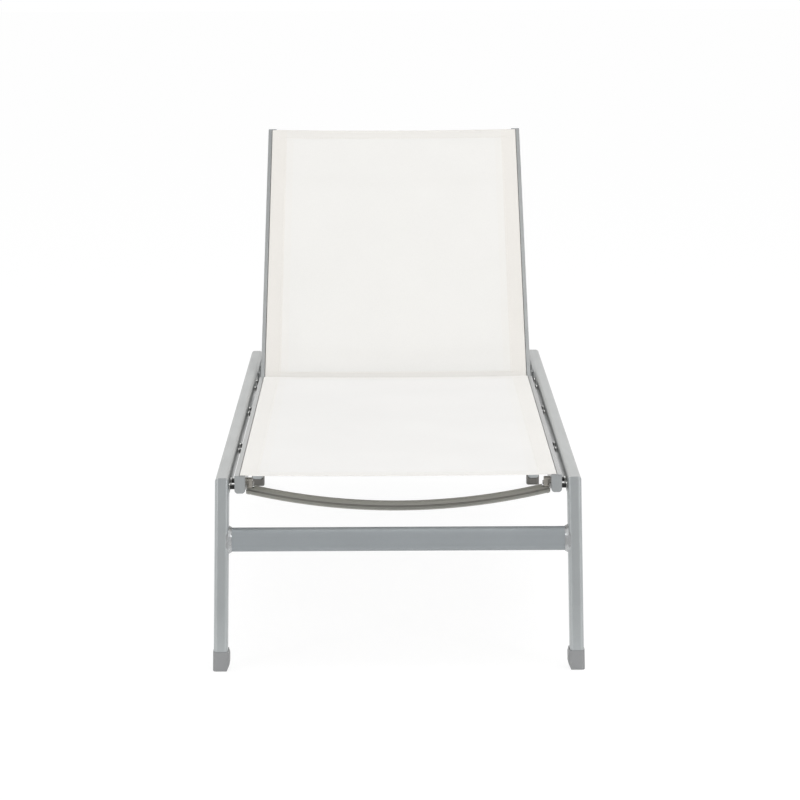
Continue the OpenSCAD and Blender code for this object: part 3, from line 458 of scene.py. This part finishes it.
def stitches(name, place, body, start, end, front_dip, rear_dip):
    """Lock stitches along the folds, each a short thread bridge that dips into the cloth at both ends."""
    pitch, length, radius, sides, from_edge = 0.0042, 0.0032, 0.00028, 5, 0.003
    # each ring's place along the stitch as a share of the length, its height, and its share of the radius
    rings = ((-0.5, -0.0002, 0.45), (-0.22, 0.00016, 1.0), (0.22, 0.00016, 1.0), (0.5, -0.0002, 0.45))
    verts, faces = [], []

    def one(point, along):
        across = Vector((-along.y, along.x, 0))
        base = len(verts)
        for share, lift, size in rings:
            for k in range(sides):
                a = 2 * math.pi * k / sides
                off = across * (radius * size * math.cos(a))
                up = Vector((0, 0, lift + radius * size * math.sin(a)))
                verts.append(point + along * (length * share) + off + up)
        for r in range(len(rings) - 1):
            for k in range(sides):
                a, b = base + r * sides + k, base + r * sides + (k + 1) % sides
                faces.append((a, b, b + sides, a + sides))
        last = base + (len(rings) - 1) * sides
        faces.append(tuple(base + k for k in reversed(range(sides))))
        faces.append(tuple(last + k for k in range(sides)))

    top = SHEET_T / 2 + 0.0001
    count = int(2 * (RAIL_IN - 0.002) / pitch)
    for tip, way, dip in ((start, 1, front_dip), (end, -1, rear_dip)):
        for inset in (0.0045, END_HEM - from_edge):
            for i in range(count):
                x = (i + 0.5 - count / 2) * pitch
                edge = tip + way * dip * inward(x)
                one(Vector((x, edge + way * inset, middle_z(x) + top)), Vector((1, 0, 0)))
    for side in (-1, 1):
        for i in range(int((end - start - 2 * END_HEM) / pitch)):
            x, y = side * (RAIL_IN - SIDE_HEM + from_edge), start + END_HEM + (i + 0.5) * pitch
            one(Vector((x, y, middle_z(x) + top)), Vector((0, 1, 0)))
    return mesh_piece(name, verts, faces, white_thread, body, place)


# front and rear end, and how far each bows in
SEAT = (SEAT_FROM, SEAT_TO, 0.0012, 0.0015)
BACK = (BACK_FROM, BACK_TO, 0.0012, 0.0020)

seat = sling("seat_cloth", seat_cloth, SEAT_PLACE, "frame", *SEAT)
back = sling("back_cloth", back_cloth, BACK_PLACE, "backrest", *BACK)
seat_folds = folds("seat_cloth_folds", SEAT_PLACE, "frame", *SEAT)
back_folds = folds("back_cloth_folds", BACK_PLACE, "backrest", *BACK)
seat_stitches = stitches("seat_stitching", SEAT_PLACE, "frame", *SEAT)
back_stitches = stitches("back_stitching", BACK_PLACE, "backrest", *BACK)
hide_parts("seat_sling")
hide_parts("back_sling")

# ---------------------------------------------------------------- weld beads

WELD_X, WELD_R, WELD_STEP = (0.3095, 0.3255), 0.0021, 0.0009


def weld(name, path):
    """A rippled bead along a path of points, with tapered ends."""
    verts, faces, sides = [], [], 8
    for i, p in enumerate(path):
        ahead = (path[min(i + 1, len(path) - 1)] - path[max(i - 1, 0)]).normalized()
        helper = Vector((0, 0, 1)) if abs(ahead.z) < 0.9 else Vector((0, 1, 0))
        u = ahead.cross(helper).normalized()
        w = ahead.cross(u).normalized()
        end = min(i, len(path) - 1 - i)
        r = WELD_R * (1 + 0.10 * math.cos(i * math.pi / 2)) * min(1.0, 0.45 + 0.28 * end)
        for k in range(sides):
            a = 2 * math.pi * k / sides
            verts.append(p + u * (r * math.cos(a)) + w * (r * math.sin(a)))
    for i in range(len(path) - 1):
        for k in range(sides):
            a, b = i * sides + k, i * sides + (k + 1) % sides
            faces.append((a, b, b + sides, a + sides))
    last = (len(path) - 1) * sides
    faces.append(tuple(reversed(range(sides))))
    faces.append(tuple(range(last, last + sides)))
    return mesh_piece(name, verts, faces, coated_bead, "frame")


def line(a, b):
    count = max(4, int((b - a).length / WELD_STEP))
    return [a.lerp(b, i / count) for i in range(count + 1)]


# across the underside of each side rail, where the front leg meets it
for side, word in ((-1, "left"), (1, "right")):
    weld(f"front_{word}_corner_weld", line(*(Vector((side * x, FRONT + TUBE_D, RAIL_LOW)) for x in WELD_X)))

# ---------------------------------------------------------------- stage, lamps and camera

# in reflections, the floor in front of DARK_SIDE and the world towards -Y show at this share of their light
DARK_SIDE, DARK_SHARE = -0.98, 0.42


def seen_rays(tree):
    """A socket that is 1 for rays of the camera, reflections and transmission, and one for reflections alone."""
    path = tree.nodes.new("ShaderNodeLightPath")
    share = path.outputs["Is Camera Ray"]
    for name in ("Is Glossy Ray", "Is Transmission Ray"):
        either = tree.nodes.new("ShaderNodeMath")
        either.operation = "MAXIMUM"
        tree.links.new(share, either.inputs[0])
        tree.links.new(path.outputs[name], either.inputs[1])
        share = either.outputs[0]
    return share, path.outputs["Is Glossy Ray"]


def dimmed(tree, glossy, along, low, high, strength):
    """The strength, which reflections see fall to DARK_SHARE as along goes down from high to low."""
    fall = tree.nodes.new("ShaderNodeMapRange")
    tree.links.new(along, fall.inputs["Value"])
    for key, value in (("From Min", low), ("From Max", high), ("To Min", DARK_SHARE), ("To Max", 1.0)):
        fall.inputs[key].default_value = value
    mix = tree.nodes.new("ShaderNodeMix")
    tree.links.new(glossy, mix.inputs[0])
    mix.inputs[2].default_value = 1.0
    tree.links.new(fall.outputs[0], mix.inputs[3])
    scale = tree.nodes.new("ShaderNodeMath")
    scale.operation = "MULTIPLY"
    tree.links.new(mix.outputs[0], scale.inputs[0])
    scale.inputs[1].default_value = strength
    return scale.outputs[0]


def shader(tree, kind, level=1.0, strength=None):
    node = tree.nodes.new(kind)
    node.inputs["Color"].default_value = (level, level, level, 1)
    if isinstance(strength, float):
        node.inputs["Strength"].default_value = strength
    elif strength is not None:
        tree.links.new(strength, node.inputs["Strength"])
    return node.outputs[0]


def joined(tree, kind, *sockets):
    node = tree.nodes.new(kind)
    for socket, source in zip(node.inputs, sockets):
        tree.links.new(source, socket)
    return node.outputs[0]


def floor():
    """White to the camera and in reflections, and pale grey to the light that it throws back at the object."""
    data = bpy.data.meshes.new("floor")
    data.from_pydata([(x, y, -0.0005) for x, y in ((-30, -30), (30, -30), (30, 30), (-30, 30))], [], [(0, 1, 2, 3)])
    piece = bpy.data.objects.new("floor", data)
    bpy.context.scene.collection.objects.link(piece)
    mat = bpy.data.materials.new("pale floor")
    mat.use_nodes = True
    tree = mat.node_tree
    tree.nodes.clear()
    seen, glossy = seen_rays(tree)
    part = tree.nodes.new("ShaderNodeSeparateXYZ")
    tree.links.new(tree.nodes.new("ShaderNodeTexCoord").outputs["Object"], part.inputs[0])
    glow = dimmed(tree, glossy, part.outputs["Y"], DARK_SIDE - 0.2, DARK_SIDE, 0.875)
    lit = shader(tree, "ShaderNodeBsdfDiffuse", 0.18)
    pale = joined(tree, "ShaderNodeAddShader", lit, shader(tree, "ShaderNodeEmission", 1.0, glow))
    mix = joined(tree, "ShaderNodeMixShader", seen, shader(tree, "ShaderNodeBsdfDiffuse", 0.85), pale)
    tree.links.new(mix, tree.nodes.new("ShaderNodeOutputMaterial").inputs["Surface"])
    data.materials.append(mat)


def studio(diffuse):
    """White to the camera and in reflections, and a soft light of the strength diffuse on the object."""
    world = bpy.data.worlds.new("studio")
    bpy.context.scene.world = world
    world.use_nodes = True
    tree = world.node_tree
    tree.nodes.clear()
    seen, glossy = seen_rays(tree)
    part = tree.nodes.new("ShaderNodeSeparateXYZ")
    tree.links.new(tree.nodes.new("ShaderNodeTexCoord").outputs["Generated"], part.inputs[0])
    shown = shader(tree, "ShaderNodeBackground", 1.0, dimmed(tree, glossy, part.outputs["Y"], -0.7, -0.3, 1.0))
    mix = joined(tree, "ShaderNodeMixShader", seen, shader(tree, "ShaderNodeBackground", 1.0, diffuse), shown)
    tree.links.new(mix, tree.nodes.new("ShaderNodeOutputWorld").inputs["Surface"])


floor()
studio(0.64)


def lamp(name, place, target, size, power):
    data = bpy.data.lights.new(name, "AREA")
    data.shape = "RECTANGLE"
    data.size, data.size_y = size
    data.energy = power
    piece = bpy.data.objects.new(name, data)
    bpy.context.scene.collection.objects.link(piece)
    piece.location = place
    piece.rotation_mode = "QUATERNION"
    piece.rotation_quaternion = (Vector(target) - Vector(place)).to_track_quat("-Z", "Y")


lamp("overhead softbox", (0.4, -0.5, 4.2), (0, 0, 0.3), (3.0, 3.0), 62)
lamp("left strip", (-2.6, -3.4, 0.75), (0, -0.8, 0.2), (0.5, 1.4), 28)
lamp("right strip", (2.6, -3.4, 0.75), (0, -0.8, 0.2), (0.5, 1.4), 28)

# solved from the straight edges in the photograph
camera = bpy.data.objects.new("camera", bpy.data.cameras.new("camera"))
bpy.context.scene.collection.objects.link(camera)
bpy.context.scene.camera = camera
camera.data.sensor_width = 36
camera.data.lens = 132.44
camera.data.clip_start, camera.data.clip_end = 0.1, 100
pitch, yaw, roll = (math.radians(a) for a in (9.749, 0.264, -0.227))
ahead = Vector((math.sin(yaw) * math.cos(pitch), math.cos(yaw) * math.cos(pitch), -math.sin(pitch)))
right = ahead.cross(Vector((0, 0, 1))).normalized()
up = right.cross(ahead)
right, up = math.cos(roll) * right + math.sin(roll) * up, math.cos(roll) * up - math.sin(roll) * right
turned = Matrix((right, up, -ahead)).transposed().to_4x4()
camera.matrix_world = Matrix.Translation((-0.0202, -6.0784, 1.3918)) @ turned

bpy.context.scene.view_settings.view_transform = "Standard"
